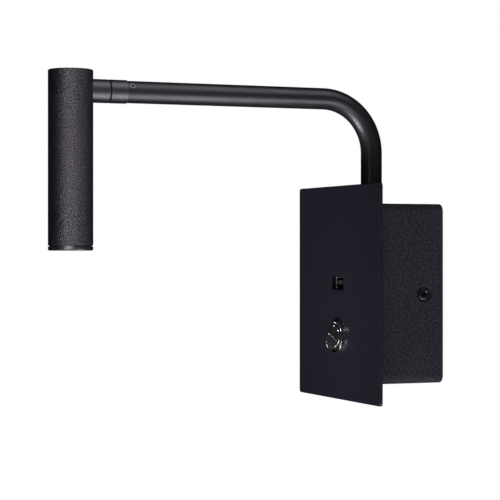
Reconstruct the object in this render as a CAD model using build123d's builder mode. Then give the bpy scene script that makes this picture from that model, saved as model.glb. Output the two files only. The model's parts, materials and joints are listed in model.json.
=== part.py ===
from build123d import *
import math
import os

# Bedside wall reading lamp, in millimetres.
# The origin is on the wall, behind the middle of the box. +X is to the right seen from
# the front, -Y leads away from the wall and +Z is up. A distance called "out" is
# measured from the wall.

# ---- Clearances --------------------------------------------------------------
turning_gap = 0.05        # radial, between a pin and the bore that it turns in
seat_gap = 0.05           # between pieces that are fixed one inside the other
face_play = 0.05          # between faces that rub on each other
drill_gap = 0.2           # radial, round a screw in its drilled hole

# ---- Front plate -------------------------------------------------------------
plate_width = 90.0
plate_height = 100.0
plate_thickness = 1.5
plate_overhang = 9.0      # of the plate past the box, on each of the four sides
plate_corner = 1.5
plate_edge_round = 0.25

# ---- Housing, the box behind the plate ---------------------------------------
box_depth = 35.2          # from the wall to the back of the plate
box_wall = 2.5
box_corner_radius = 3.5
box_rim_round = 0.5
lip_width = 7.0           # inward flange that carries the plate
lip_thickness = 2.5

# ---- Plate studs and nuts ----------------------------------------------------
stud_radius = 1.45
stud_length = 8.0
stud_inset = 3.4          # from the inner side of the box wall
nut_width = 5.5           # across the flats
nut_height = 2.4

# ---- Wall bracket ------------------------------------------------------------
bracket_thickness = 1.5
bracket_gap = 0.2         # to the side walls of the box
bracket_end_gap = 1.0     # to its top and bottom walls
bracket_corner = 3.0
wall_slot_spacing = 60.0
wall_slot_length = 9.0
wall_slot_width = 4.6
ear_height = 24.0
ear_depth = 16.0

# ---- Side screws and the nuts clinched into the ears --------------------------
side_screw_out = 9.5
side_screw_radius = 1.95
side_screw_length = 10.0
side_head_radius = 3.4
side_sink_radius = 4.1
side_head_recess = 0.65
side_socket_width = 2.5
side_socket_depth = 1.5
clinch_radius = 3.6
clinch_neck_radius = 2.7
clinch_height = 3.0

# ---- Cable entry -------------------------------------------------------------
grommet_bore_radius = 4.0
grommet_neck_radius = 7.0
grommet_flange_radius = 9.5
grommet_flange_thickness = 1.5
grommet_sleeve_radius = 6.0
grommet_sleeve_length = 1.5

# ---- Terminal block and earth screw on the bracket ----------------------------
block_width = 16.0
block_height = 18.0
block_depth = 12.5
block_side_gap = 5.5      # to the right wall of the box
pole_spacing = 10.0
pole_bore_radius = 1.4
pole_out = 7.0
pole_screw_radius = 1.9
pole_screw_height = 1.4
pole_screw_slot = 0.6
block_screw_radius = 1.45
block_screw_head_radius = 2.7
block_screw_head_height = 1.8
screw_tip_gap = 0.2       # that a screw in the bracket keeps from the wall
earth_rise = 7.4          # above the terminal block
earth_screw_radius = 1.95
earth_head_radius = 3.6
earth_head_height = 2.6
earth_washer_radius = 4.2
earth_washer_thickness = 0.8

# ---- Arm tube ----------------------------------------------------------------
tube_radius = 5.0
tube_wall = 1.2
bend_radius = 25.0
arm_standoff = 19.2       # from the wall to the axis that the arm swings on
arm_rise = 49.6           # from the top of the box to the axis of the arm
arm_reach = 147.2         # from the swing axis to the axis of the head
swing_limit = 90.0        # degrees each way

# ---- Bearing of the arm in the box -------------------------------------------
bush_radius = 8.0
bush_length = 17.0
bush_flange_radius = 9.5
bush_flange_thickness = 1.0
bush_socket_depth = 11.0
bush_nut_width = 20.0
bush_nut_height = 4.0
thrust_thickness = 0.5
stem_bore_radius = 1.6
stem_grip = 14.0          # length of the stem inside the tube
spring_radius = 5.2
spring_thickness = 1.0
stop_hub_radius = 5.3
stop_lug_radius = 7.8
stop_collar_height = 5.0
stem_nut_width = 10.0
stem_nut_height = 4.0
stem_run_out = 1.0
stop_pin_radius = 1.0
stop_pin_place = 6.6      # from the swing axis
stop_pin_hold = 3.0
stop_pin_drop = 5.0
stop_margin = 1.5         # degrees left at each stop

# ---- Swivel between the arm and the head --------------------------------------
collar_radius = 5.3
socket_collar_length = 8.2
head_collar_length = 7.2
collar_edge = 0.25
swivel_gap = 0.3
swivel_limit = 165.0      # degrees each way
swivel_pin_radius = 2.45
swivel_pin_bore_radius = 1.4
swivel_flange_radius = 4.0
swivel_flange_thickness = 2.0
spigot_length = 12.0
swivel_washer_thickness = 0.6
swivel_washer_radius = 3.4
swivel_nut_width = 6.0
swivel_nut_height = 2.0
swivel_run_out = 0.8
dowel_radius = 0.5
dowel_place = 4.0         # from the axis of the arm
dowel_hold = 2.0
dowel_stand = 1.2
groove_depth = 1.4
groove_side_gap = 0.2
grub_radius = 1.2
grub_place = 1.9          # from the end of the tube
grub_angle = 31.0         # above level, on the right
grub_tip = 2.95           # from the axis of the arm
grub_recess = 0.15
grub_socket_width = 1.3
grub_socket_depth = 0.8

# ---- Head --------------------------------------------------------------------
head_radius = 10.0
head_wall = 1.5
head_above = 9.0          # top of the head above the axis of the arm
head_below = 71.0         # mouth of the head below it
head_edge_round = 0.5
head_mouth_chamfer = 0.35
cap_thickness = 2.5
ring_radius = 10.0
ring_lip_height = 1.8
ring_lip_round = 0.8
ring_groove_height = 0.4
ring_groove_depth = 0.5
ring_mouth_radius = 7.7
ring_throat_radius = 6.7
ring_neck_length = 5.0
ring_neck_wall = 1.0
ring_seat_height = 1.4    # of the lens above the mouth
lens_flange_height = 1.2
lens_body_radius = 6.4
lens_top_radius = 3.2
lens_height = 7.8
lens_recess_radius = 2.0
lens_recess_depth = 2.2
holder_height = 5.9
led_board_thickness = 1.4
led_board_gap = 0.6       # round the board, to the wall of the head
led_board_rise = 8.5      # of the board above the lens seat
chip_width = 3.4
chip_height = 0.55
chip_dome_radius = 1.1
sink_length = 20.0
sink_gap = 0.1
led_screw_place = 5.6
led_screw_radius = 0.95
led_screw_head_radius = 1.6
led_screw_head_height = 1.0
led_screw_length = 4.0

# ---- USB port ----------------------------------------------------------------
usb_z = 4.3
usb_recess = 2.3          # of the shell behind the front of the plate
usb_shell_width = 13.1
usb_shell_height = 5.7
usb_shell_length = 14.0
usb_shell_wall = 0.35
usb_window_width = 12.8
usb_window_height = 6.5
usb_window_corner = 0.4
tongue_width = 11.0
tongue_thickness = 1.8
tongue_rise = 0.3
tongue_recess = 0.8
tongue_base_length = 3.0
contact_width = 1.0
contact_thickness = 0.25
contact_length = 7.5
contact_places = (-3.5, -1.0, 1.0, 3.5)
usb_board_width = 17.6
usb_board_length = 24.9
usb_board_thickness = 1.6
holder_frame_gap = 0.2    # round the shell
holder_frame_width = 32.0
holder_frame_top = 1.75   # above the shell
holder_frame_thickness = 2.2
holder_stud_x = 12.2
tray_thickness = 1.6
tray_length = 22.0
board_screw_x = 6.6
board_screw_place = 14.6  # from the front edge of the board
board_screw_radius = 0.95
board_screw_head_radius = 1.8
board_screw_head_height = 1.2
chip_size = (4.4, 3.6, 1.2)
chip_place = 15.6         # from the front edge of the board, and so below
coil_size = (6.0, 6.0, 3.0)
coil_chamfer = 1.0
coil_x = -4.8
coil_place = 21.4
capacitor_radius = 2.4
capacitor_height = 6.0
capacitor_x = 5.2
capacitor_place = 21.5

# ---- Rocker switch -----------------------------------------------------------
switch_rise = 28.6        # of its middle above the bottom edge of the plate
switch_turn = 18.0        # degrees that it is turned in its hole, clockwise from the front
bezel_radius = 7.9
bezel_proud = 1.9
bezel_round = 0.6
pocket_radius = 6.6
pocket_depth = 6.0
barrel_radius = 7.3
barrel_length = 15.7      # behind the front of the plate
barrel_gap = 0.1
switch_nut_radius = 9.5
switch_nut_height = 3.0
rocker_radius = 5.9
rocker_tilt = 10.0        # degrees each side of level
rocker_proud = 0.5        # of its raised half past the bezel
rocker_cover = 2.2        # from the middle of its face to the pin
rocker_back = 2.2         # from the pin to its back
pivot_pin_radius = 0.75
pivot_pin_hold = 0.4      # length of each pin end in the wall of the barrel
blade_width = 4.0
blade_thickness = 0.8
blade_length = 6.5
blade_offset = 3.5

# ---- Supply for the light, on a pad on the bracket -----------------------------
driver_width = 18.0
driver_height = 28.0
driver_depth = 18.0
driver_side_gap = 5.5     # to the left wall of the box
driver_end_gap = 1.0      # to its bottom wall
driver_round = 1.0
pad_thickness = 1.5

# ---- Leads held inside -------------------------------------------------------
lead_radius = 1.0
wire_radius = 0.8
wire_bend = 3.0
lead_gap = 0.3            # between the ends of two leads that turn on each other
led_lead_level = 4.0      # of the run under the stem, below its end
lead_spacing = 4.0        # between the two leads on top of the supply
head_lead_place = 5.5     # from the axis of the head, away from the arm
head_lead_bend = 8.0
usb_lead_inset = 3.0      # from the wall end of the board
switched_turn = 4.5       # from the end of the switch to the lead that leaves it
neutral_straight = 4.0    # run at each end of the lead past the switch
neutral_dip = 2.2         # of its end at the supply, towards the wall

# ---- Worked out from the sizes above -----------------------------------------
box_width = plate_width - 2 * plate_overhang
box_height = plate_height - 2 * plate_overhang
inner_width = box_width - 2 * box_wall
inner_height = box_height - 2 * box_wall
inner_corner = box_corner_radius - box_wall
box_top = box_height / 2
plate_front_out = box_depth + plate_thickness
lip_back_out = box_depth - lip_thickness
stud_x = inner_width / 2 - stud_inset
stud_z = inner_height / 2 - stud_inset
bracket_width = inner_width - 2 * bracket_gap
bracket_height = inner_height - 2 * bracket_end_gap

tube_bore = tube_radius - tube_wall
stem_radius = tube_bore - seat_gap
arm_z = box_top + arm_rise
bush_floor = box_top - bush_length
socket_floor = box_top - bush_socket_depth
tube_foot = socket_floor + thrust_thickness + face_play
spring_top = bush_floor - face_play
stop_collar_top = spring_top - spring_thickness
stem_nut_top = stop_collar_top - stop_collar_height
stem_foot = stem_nut_top - stem_nut_height - stem_run_out

head_axis_out = arm_standoff + arm_reach
head_face_out = head_axis_out - head_radius
head_bore = head_radius - head_wall
seam_out = head_face_out - head_collar_length
socket_front_out = seam_out - swivel_gap
tube_tip_out = socket_front_out - socket_collar_length
spigot_end_out = tube_tip_out - spigot_length
swivel_washer_out = spigot_end_out - face_play - swivel_washer_thickness
swivel_nut_out = swivel_washer_out - swivel_nut_height
swivel_pin_end_out = swivel_nut_out - swivel_run_out
swivel_bore = swivel_pin_radius + turning_gap

head_top = arm_z + head_above
head_mouth = arm_z - head_below
ring_lip_top = head_mouth + ring_lip_height
head_tube_foot = ring_lip_top + ring_groove_height
ring_neck_radius = head_bore - seat_gap
lens_seat = head_mouth + ring_seat_height
lens_flange_radius = ring_neck_radius - ring_neck_wall - drill_gap
led_board_foot = lens_seat + led_board_rise
led_board_radius = head_bore - led_board_gap
led_board_top = led_board_foot + led_board_thickness
sink_radius = head_bore - sink_gap

usb_front_out = plate_front_out - usb_recess
usb_board_top = usb_z - usb_shell_height / 2
usb_tray_top = usb_board_top - usb_board_thickness
holder_back_out = box_depth - holder_frame_thickness
usb_board_out = holder_back_out - face_play
board_screw_out = usb_board_out - board_screw_place

switch_z = switch_rise - plate_height / 2
bezel_front_out = plate_front_out + bezel_proud
barrel_end_out = plate_front_out - barrel_length
pivot_out = bezel_front_out + rocker_proud - rocker_cover
turn = math.radians(switch_turn)
blade_x = blade_offset * math.sin(turn)
upper_blade_z = switch_z + blade_offset * math.cos(turn)
lower_blade_z = switch_z - blade_offset * math.cos(turn)
blade_end_out = barrel_end_out - blade_length

driver_right = -inner_width / 2 + driver_side_gap + driver_width
driver_x = driver_right - driver_width / 2
driver_foot = -inner_height / 2 + driver_end_gap
driver_top = driver_foot + driver_height
driver_out = bracket_thickness + pad_thickness
block_left = inner_width / 2 - block_side_gap - block_width
block_x = block_left + block_width / 2
block_face_out = bracket_thickness + block_depth
earth_x = block_x
upper_pole_z = upper_blade_z
lower_pole_z = upper_pole_z - pole_spacing
block_z = (upper_pole_z + lower_pole_z) / 2
earth_z = block_z + block_height / 2 + earth_rise


def out(distance, x=0.0, z=0.0):
    """Plane at a distance from the wall that faces the room. Its second axis is +Z."""
    return Plane(origin=(x, -distance, z), x_dir=(1, 0, 0), z_dir=(0, -1, 0))


def up(height, distance=0.0, x=0.0):
    """Plane at a height that faces up, centred at a distance from the wall."""
    return Plane(origin=(x, -distance, height))


def side(direction, x, distance=0.0, z=0.0):
    """Plane that faces right, or left where the direction is -1."""
    return Plane(origin=(direction * x, -distance, z), x_dir=(0, 1, 0), z_dir=(direction, 0, 0))


def turned(plane, outer_radius, bore_radius, length):
    """Ring that stands on a plane, or a disc where the bore is 0."""
    with BuildPart() as piece:
        with BuildSketch(plane):
            Circle(outer_radius)
            if bore_radius > 0:
                Circle(bore_radius, mode=Mode.SUBTRACT)
        extrude(amount=length)
    return piece


def hex_nut(plane, width, bore_radius, height):
    """Hexagonal nut that stands on a plane."""
    with BuildPart() as piece:
        with BuildSketch(plane):
            RegularPolygon(width / 2, 6, major_radius=False)
            Circle(bore_radius, mode=Mode.SUBTRACT)
        extrude(amount=height)
    return piece


def sector(plane, inner_radius, outer_radius, middle_angle, half_angle, height):
    """Piece of a ring between two angles that stands on a plane."""
    with BuildPart() as piece:
        with BuildSketch(plane):
            with BuildLine():
                outer = CenterArc((0, 0), outer_radius, middle_angle - half_angle, 2 * half_angle)
                inner = CenterArc((0, 0), inner_radius, middle_angle - half_angle, 2 * half_angle)
                Line(outer @ 0, inner @ 0)
                Line(outer @ 1, inner @ 1)
            make_face()
        extrude(amount=height)
    return piece


def lead(radius, bend, *points):
    """Insulated lead along straight runs that arcs join."""
    with BuildPart() as piece:
        with BuildLine() as route:
            FilletPolyline(*points, radius=bend)
        with BuildSketch(Plane(origin=route.line @ 0, z_dir=route.line % 0)):
            Circle(radius)
        sweep()
    return piece


# ---- Plate and box -----------------------------------------------------------
with BuildPart() as front_plate:
    with BuildSketch(out(box_depth)):
        RectangleRounded(plate_width, plate_height, plate_corner)
        with Locations((0, usb_z)):
            RectangleRounded(
                usb_window_width, usb_window_height, usb_window_corner, mode=Mode.SUBTRACT
            )
        with Locations((0, switch_z)):
            Circle(barrel_radius + barrel_gap, mode=Mode.SUBTRACT)
    extrude(amount=plate_thickness)
    front_edges = front_plate.faces().sort_by(Axis.Y)[0].outer_wire().edges()
    fillet(front_edges, plate_edge_round)

with BuildPart() as housing:
    with BuildSketch(out(0)):
        RectangleRounded(box_width, box_height, box_corner_radius)
    extrude(amount=box_depth)
    fillet(housing.faces().sort_by(Axis.Y)[-1].edges(), box_rim_round)
    with BuildSketch(out(0)):
        RectangleRounded(inner_width, inner_height, inner_corner)
    extrude(amount=lip_back_out, mode=Mode.SUBTRACT)
    with BuildSketch(out(lip_back_out)):
        Rectangle(inner_width - 2 * lip_width, inner_height - 2 * lip_width)
    extrude(amount=lip_thickness, mode=Mode.SUBTRACT)
    with BuildSketch(out(lip_back_out)):
        with GridLocations(2 * stud_x, 2 * stud_z, 2, 2):
            Circle(stud_radius + drill_gap)
    extrude(amount=lip_thickness, mode=Mode.SUBTRACT)
    with Locations(up(box_top, arm_standoff)):
        CounterBoreHole(
            bush_radius + seat_gap, bush_flange_radius + seat_gap, bush_flange_thickness, box_wall
        )
    with Locations(*[side(d, box_width / 2, side_screw_out) for d in (-1, 1)]):
        CounterSinkHole(side_screw_radius + drill_gap, side_sink_radius, box_wall, 90)

with BuildPart() as plate_studs:
    with BuildSketch(out(box_depth - stud_length)):
        with GridLocations(2 * stud_x, 2 * stud_z, 2, 2):
            Circle(stud_radius)
        with Locations((-holder_stud_x, usb_z), (holder_stud_x, usb_z)):
            Circle(stud_radius)
    extrude(amount=stud_length)

with BuildPart() as plate_nuts:
    with BuildSketch(out(lip_back_out - nut_height)):
        with GridLocations(2 * stud_x, 2 * stud_z, 2, 2):
            RegularPolygon(nut_width / 2, 6, major_radius=False)
            Circle(stud_radius + seat_gap, mode=Mode.SUBTRACT)
    extrude(amount=nut_height)
    with BuildSketch(out(holder_back_out - nut_height)):
        with Locations((-holder_stud_x, usb_z), (holder_stud_x, usb_z)):
            RegularPolygon(nut_width / 2, 6, major_radius=False)
            Circle(stud_radius + seat_gap, mode=Mode.SUBTRACT)
    extrude(amount=nut_height)

# ---- Bracket on the wall -----------------------------------------------------
ear_outer = bracket_width / 2
ear_inner = ear_outer - bracket_thickness

with BuildPart() as wall_bracket:
    with BuildSketch(out(0)):
        RectangleRounded(bracket_width, bracket_height, bracket_corner)
        with Locations((0, wall_slot_spacing / 2), (0, -wall_slot_spacing / 2)):
            SlotOverall(wall_slot_length, wall_slot_width, rotation=90, mode=Mode.SUBTRACT)
        Circle(grommet_neck_radius + seat_gap, mode=Mode.SUBTRACT)
        with Locations((block_x, block_z)):
            Circle(block_screw_radius + seat_gap, mode=Mode.SUBTRACT)
        with Locations((earth_x, earth_z)):
            Circle(earth_screw_radius + seat_gap, mode=Mode.SUBTRACT)
    extrude(amount=bracket_thickness)
    with BuildSketch(out(0)):
        with GridLocations(ear_outer + ear_inner, 0, 2, 1):
            Rectangle(bracket_thickness, ear_height)
    extrude(amount=ear_depth)
    with Locations(*[side(d, ear_outer, side_screw_out) for d in (-1, 1)]):
        Hole(clinch_neck_radius + seat_gap, bracket_thickness)

with BuildPart() as clinch_nuts:
    for direction in (-1, 1):
        with BuildSketch(side(direction, ear_inner - clinch_height, side_screw_out)):
            Circle(clinch_radius)
        extrude(amount=clinch_height)
        with BuildSketch(side(direction, ear_inner, side_screw_out)):
            Circle(clinch_neck_radius)
        extrude(amount=bracket_thickness)
        with BuildSketch(side(direction, ear_inner - clinch_height, side_screw_out)):
            Circle(side_screw_radius + seat_gap)
        extrude(amount=clinch_height + bracket_thickness, mode=Mode.SUBTRACT)

side_head_face = box_width / 2 - side_head_recess
side_head_height = side_head_radius - side_screw_radius

with BuildPart() as side_screws:
    for direction in (-1, 1):
        with BuildSketch(side(direction, side_head_face - side_head_height, side_screw_out)):
            Circle(side_screw_radius)
        with BuildSketch(side(direction, side_head_face, side_screw_out)):
            Circle(side_head_radius)
        loft()
        with BuildSketch(side(direction, side_head_face - side_screw_length, side_screw_out)):
            Circle(side_screw_radius)
        extrude(amount=side_screw_length - side_head_height)
        with BuildSketch(side(direction, side_head_face - side_socket_depth, side_screw_out)):
            RegularPolygon(side_socket_width / 2, 6, major_radius=False)
        extrude(amount=side_socket_depth, mode=Mode.SUBTRACT)

with BuildPart() as cable_grommet:
    with BuildSketch(out(0)):
        Circle(grommet_neck_radius)
    extrude(amount=bracket_thickness)
    with BuildSketch(out(bracket_thickness)):
        Circle(grommet_flange_radius)
    extrude(amount=grommet_flange_thickness)
    with BuildSketch(out(bracket_thickness + grommet_flange_thickness)):
        Circle(grommet_sleeve_radius)
    extrude(amount=grommet_sleeve_length)
    with BuildSketch(out(0)):
        Circle(grommet_bore_radius)
    extrude(amount=box_depth, mode=Mode.SUBTRACT)

with BuildPart() as terminal_block:
    with BuildSketch(out(bracket_thickness, block_x, block_z)):
        Rectangle(block_width, block_height)
        Circle(block_screw_radius + drill_gap, mode=Mode.SUBTRACT)
    extrude(amount=block_depth)
    with BuildSketch(side(1, block_left, pole_out, block_z)):
        with GridLocations(0, pole_spacing, 1, 2):
            Circle(pole_bore_radius)
    extrude(amount=block_width, mode=Mode.SUBTRACT)
    with BuildSketch(out(block_face_out - pole_screw_height, block_x, block_z)):
        with GridLocations(0, pole_spacing, 1, 2):
            Circle(pole_screw_radius + seat_gap)
    extrude(amount=pole_screw_height, mode=Mode.SUBTRACT)

with BuildPart() as terminal_screws:
    with BuildSketch(out(block_face_out - pole_screw_height, block_x, block_z)):
        with GridLocations(0, pole_spacing, 1, 2):
            Circle(pole_screw_radius)
    extrude(amount=pole_screw_height)
    with BuildSketch(out(block_face_out - pole_screw_height / 2, block_x, block_z)):
        with GridLocations(0, pole_spacing, 1, 2):
            Rectangle(2 * pole_screw_radius, pole_screw_slot)
    extrude(amount=pole_screw_height / 2, mode=Mode.SUBTRACT)

with BuildPart() as block_screw:
    with BuildSketch(out(screw_tip_gap, block_x, block_z)):
        Circle(block_screw_radius)
    extrude(amount=block_face_out - screw_tip_gap)
    with BuildSketch(out(block_face_out, block_x, block_z)):
        Circle(block_screw_head_radius)
    extrude(amount=block_screw_head_height)

earth_washer = turned(
    out(bracket_thickness, earth_x, earth_z),
    earth_washer_radius, earth_screw_radius + drill_gap, earth_washer_thickness,
)

with BuildPart() as earth_screw:
    with BuildSketch(out(screw_tip_gap, earth_x, earth_z)):
        Circle(earth_screw_radius)
    extrude(amount=bracket_thickness + earth_washer_thickness - screw_tip_gap)
    with BuildSketch(out(bracket_thickness + earth_washer_thickness, earth_x, earth_z)):
        Circle(earth_head_radius)
    extrude(amount=earth_head_height)

# ---- Bearing of the arm ------------------------------------------------------
with BuildPart() as arm_bush:
    with BuildSketch(up(bush_floor, arm_standoff)):
        Circle(bush_radius)
    extrude(amount=bush_length)
    with BuildSketch(up(box_top - bush_flange_thickness, arm_standoff)):
        Circle(bush_flange_radius)
    extrude(amount=bush_flange_thickness)
    with Locations(up(box_top, arm_standoff)):
        CounterBoreHole(
            stem_radius + turning_gap, tube_radius + turning_gap, bush_socket_depth, bush_length
        )
    with BuildSketch(up(bush_floor, arm_standoff)):
        with Locations((0, stop_pin_place)):
            Circle(stop_pin_radius + seat_gap)
    extrude(amount=stop_pin_hold, mode=Mode.SUBTRACT)

bush_nut = hex_nut(
    up(box_top - box_wall - bush_nut_height, arm_standoff),
    bush_nut_width, bush_radius + seat_gap, bush_nut_height,
)
thrust_washer = turned(
    up(socket_floor, arm_standoff), tube_radius - seat_gap, stem_radius + drill_gap, thrust_thickness
)
stop_pin = turned(
    up(bush_floor - stop_pin_drop, arm_standoff - stop_pin_place),
    stop_pin_radius, 0, stop_pin_drop + stop_pin_hold,
)

# ---- Arm ---------------------------------------------------------------------
grub_plane = Plane(
    origin=(0, -(tube_tip_out - grub_place), arm_z),
    x_dir=(0, 1, 0),
    z_dir=(math.cos(math.radians(grub_angle)), 0, math.sin(math.radians(grub_angle))),
)

with BuildPart() as arm_tube:
    with BuildLine() as tube_route:
        FilletPolyline(
            (0, -arm_standoff, tube_foot), (0, -arm_standoff, arm_z), (0, -tube_tip_out, arm_z),
            radius=bend_radius,
        )
    with BuildSketch(up(tube_foot, arm_standoff)):
        Circle(tube_radius)
        Circle(tube_bore, mode=Mode.SUBTRACT)
    sweep()
    with BuildSketch(grub_plane):
        Circle(grub_radius + seat_gap)
    extrude(amount=tube_radius + tube_wall, mode=Mode.SUBTRACT)

arm_stem = turned(
    up(stem_foot, arm_standoff), stem_radius, stem_bore_radius, tube_foot + stem_grip - stem_foot
)
spring_washer = turned(
    up(stop_collar_top, arm_standoff), spring_radius, stem_radius + seat_gap, spring_thickness
)
stem_nut = hex_nut(
    up(stem_nut_top - stem_nut_height, arm_standoff),
    stem_nut_width, stem_radius + seat_gap, stem_nut_height,
)

stop_pin_half_angle = math.degrees(math.asin(stop_pin_radius / stop_pin_place))
stop_lug_half_angle = 180 - swing_limit - stop_pin_half_angle - stop_margin
stop_lug = sector(
    up(stem_nut_top, arm_standoff),
    stem_radius + seat_gap, stop_lug_radius, -90, stop_lug_half_angle, stop_collar_height,
)

with BuildPart() as stop_collar:
    with BuildSketch(up(stem_nut_top, arm_standoff)):
        Circle(stop_hub_radius)
        Circle(stem_radius + seat_gap, mode=Mode.SUBTRACT)
    extrude(amount=stop_collar_height)
    add(stop_lug.part)

# ---- Swivel ------------------------------------------------------------------
dowel_half_angle = math.degrees(math.asin(dowel_radius / dowel_place))
groove_half_angle = swivel_limit + dowel_half_angle + stop_margin
groove = sector(
    out(socket_front_out - groove_depth, 0, arm_z),
    dowel_place - dowel_radius - groove_side_gap, dowel_place + dowel_radius + groove_side_gap,
    90, groove_half_angle, groove_depth,
)

with BuildPart() as swivel_socket:
    with BuildSketch(out(tube_tip_out, 0, arm_z)):
        Circle(collar_radius)
    extrude(amount=socket_collar_length)
    chamfer(swivel_socket.edges().filter_by(GeomType.CIRCLE), collar_edge)
    with BuildSketch(out(spigot_end_out, 0, arm_z)):
        Circle(tube_bore - seat_gap)
    extrude(amount=spigot_length)
    with BuildSketch(out(spigot_end_out, 0, arm_z)):
        Circle(swivel_bore)
    extrude(amount=spigot_length + socket_collar_length, mode=Mode.SUBTRACT)
    add(groove.part, mode=Mode.SUBTRACT)
    with BuildSketch(grub_plane.offset(grub_tip - seat_gap)):
        Circle(grub_radius + seat_gap)
    extrude(amount=tube_radius, mode=Mode.SUBTRACT)

with BuildPart() as socket_grub_screw:
    with BuildSketch(grub_plane.offset(grub_tip)):
        Circle(grub_radius)
    extrude(amount=tube_radius - grub_recess - grub_tip)
    with BuildSketch(grub_plane.offset(tube_radius - grub_recess - grub_socket_depth)):
        RegularPolygon(grub_socket_width / 2, 6, major_radius=False)
    extrude(amount=grub_socket_depth, mode=Mode.SUBTRACT)

with BuildPart() as head_collar:
    with BuildSketch(out(seam_out, 0, arm_z)):
        Circle(collar_radius)
    extrude(amount=head_axis_out - seam_out)
    chamfer(head_collar.edges().filter_by(GeomType.CIRCLE).sort_by(Axis.Y)[-1], collar_edge)
    with BuildSketch(up(arm_z - head_below, head_axis_out)):
        Circle(head_radius + seat_gap)
    extrude(amount=head_below + head_above, mode=Mode.SUBTRACT)
    with BuildSketch(out(seam_out, 0, arm_z)):
        Circle(swivel_pin_radius + seat_gap)
    extrude(amount=head_axis_out - seam_out, mode=Mode.SUBTRACT)
    with BuildSketch(out(seam_out, 0, arm_z + dowel_place)):
        Circle(dowel_radius + seat_gap)
    extrude(amount=dowel_hold, mode=Mode.SUBTRACT)

stop_dowel = turned(
    out(seam_out - dowel_stand, 0, arm_z + dowel_place), dowel_radius, 0, dowel_stand + dowel_hold
)

with BuildPart() as swivel_pin:
    with BuildSketch(out(head_face_out, 0, arm_z)):
        Circle(swivel_flange_radius)
    extrude(amount=head_wall + swivel_flange_thickness)
    with BuildSketch(up(arm_z - head_radius, head_axis_out)):
        Circle(head_bore - seat_gap)
    extrude(amount=2 * head_radius, mode=Mode.INTERSECT)
    with BuildSketch(out(swivel_pin_end_out, 0, arm_z)):
        Circle(swivel_pin_radius)
    extrude(amount=head_face_out + head_wall + swivel_flange_thickness - swivel_pin_end_out)
    with BuildSketch(out(swivel_pin_end_out, 0, arm_z)):
        Circle(swivel_pin_bore_radius)
    extrude(amount=head_axis_out - swivel_pin_end_out, mode=Mode.SUBTRACT)

swivel_washer = turned(
    out(swivel_washer_out, 0, arm_z),
    swivel_washer_radius, swivel_pin_radius + seat_gap, swivel_washer_thickness,
)
swivel_nut = hex_nut(
    out(swivel_nut_out, 0, arm_z), swivel_nut_width, swivel_pin_radius + seat_gap, swivel_nut_height
)

# ---- Head --------------------------------------------------------------------
with BuildPart() as head_tube:
    with BuildSketch(up(head_tube_foot, head_axis_out)):
        Circle(head_radius)
    extrude(amount=head_top - head_tube_foot)
    fillet(head_tube.edges().sort_by(Axis.Z)[-1], head_edge_round)
    chamfer(head_tube.edges().sort_by(Axis.Z)[0], head_mouth_chamfer)
    with BuildSketch(up(head_tube_foot, head_axis_out)):
        Circle(head_bore)
    extrude(amount=head_top - head_tube_foot, mode=Mode.SUBTRACT)
    with BuildSketch(out(head_face_out - head_wall, 0, arm_z)):
        Circle(swivel_pin_radius + seat_gap)
    extrude(amount=head_radius, mode=Mode.SUBTRACT)

head_cap = turned(up(head_top - cap_thickness, head_axis_out), head_bore - seat_gap, 0, cap_thickness)

with BuildPart() as lens_ring:
    with BuildSketch(Plane(origin=(0, -head_axis_out, 0), x_dir=(1, 0, 0), z_dir=(0, -1, 0))):
        with BuildLine():
            Polyline(
                (ring_throat_radius, lens_seat),
                (ring_mouth_radius, head_mouth),
                (ring_radius, head_mouth),
                (ring_radius, ring_lip_top),
                (ring_radius - ring_groove_depth, ring_lip_top),
                (ring_radius - ring_groove_depth, head_tube_foot),
                (ring_neck_radius, head_tube_foot),
                (ring_neck_radius, ring_lip_top + ring_neck_length),
                (ring_neck_radius - ring_neck_wall, ring_lip_top + ring_neck_length),
                (ring_neck_radius - ring_neck_wall, lens_seat),
                close=True,
            )
        make_face()
    revolve(axis=Axis((0, -head_axis_out, 0), (0, 0, 1)))
    fillet(lens_ring.faces().sort_by(Axis.Z)[0].outer_wire().edges(), ring_lip_round)

with BuildPart() as lens:
    with BuildSketch(up(lens_seat, head_axis_out)):
        Circle(lens_flange_radius)
    extrude(amount=lens_flange_height)
    with BuildSketch(up(lens_seat + lens_flange_height, head_axis_out)):
        Circle(lens_body_radius)
    with BuildSketch(up(lens_seat + lens_height, head_axis_out)):
        Circle(lens_top_radius)
    loft()
    with BuildSketch(up(lens_seat + lens_height - lens_recess_depth, head_axis_out)):
        Circle(lens_recess_radius)
    extrude(amount=lens_recess_depth, mode=Mode.SUBTRACT)

holder_foot = lens_seat + lens_flange_height + face_play
lens_slope = (lens_body_radius - lens_top_radius) / (lens_height - lens_flange_height)

with BuildPart() as lens_holder:
    with BuildSketch(up(holder_foot, head_axis_out)):
        Circle(lens_flange_radius)
    extrude(amount=holder_height)
    with BuildSketch(up(holder_foot, head_axis_out)):
        Circle(lens_body_radius + drill_gap)
    with BuildSketch(up(holder_foot + holder_height, head_axis_out)):
        Circle(lens_body_radius + drill_gap - lens_slope * holder_height)
    loft(mode=Mode.SUBTRACT)

with BuildPart() as led_board:
    with BuildSketch(up(led_board_foot, head_axis_out)):
        Circle(led_board_radius)
        with GridLocations(2 * led_screw_place, 0, 2, 1):
            Circle(led_screw_radius + seat_gap, mode=Mode.SUBTRACT)
    extrude(amount=led_board_thickness)

with BuildPart() as led_chip:
    with BuildSketch(up(led_board_foot - chip_height, head_axis_out)):
        Rectangle(chip_width, chip_width)
    extrude(amount=chip_height)
    with Locations(up(led_board_foot - chip_height, head_axis_out)):
        Sphere(chip_dome_radius, 0, 90, 360, rotation=(180, 0, 0))

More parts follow.
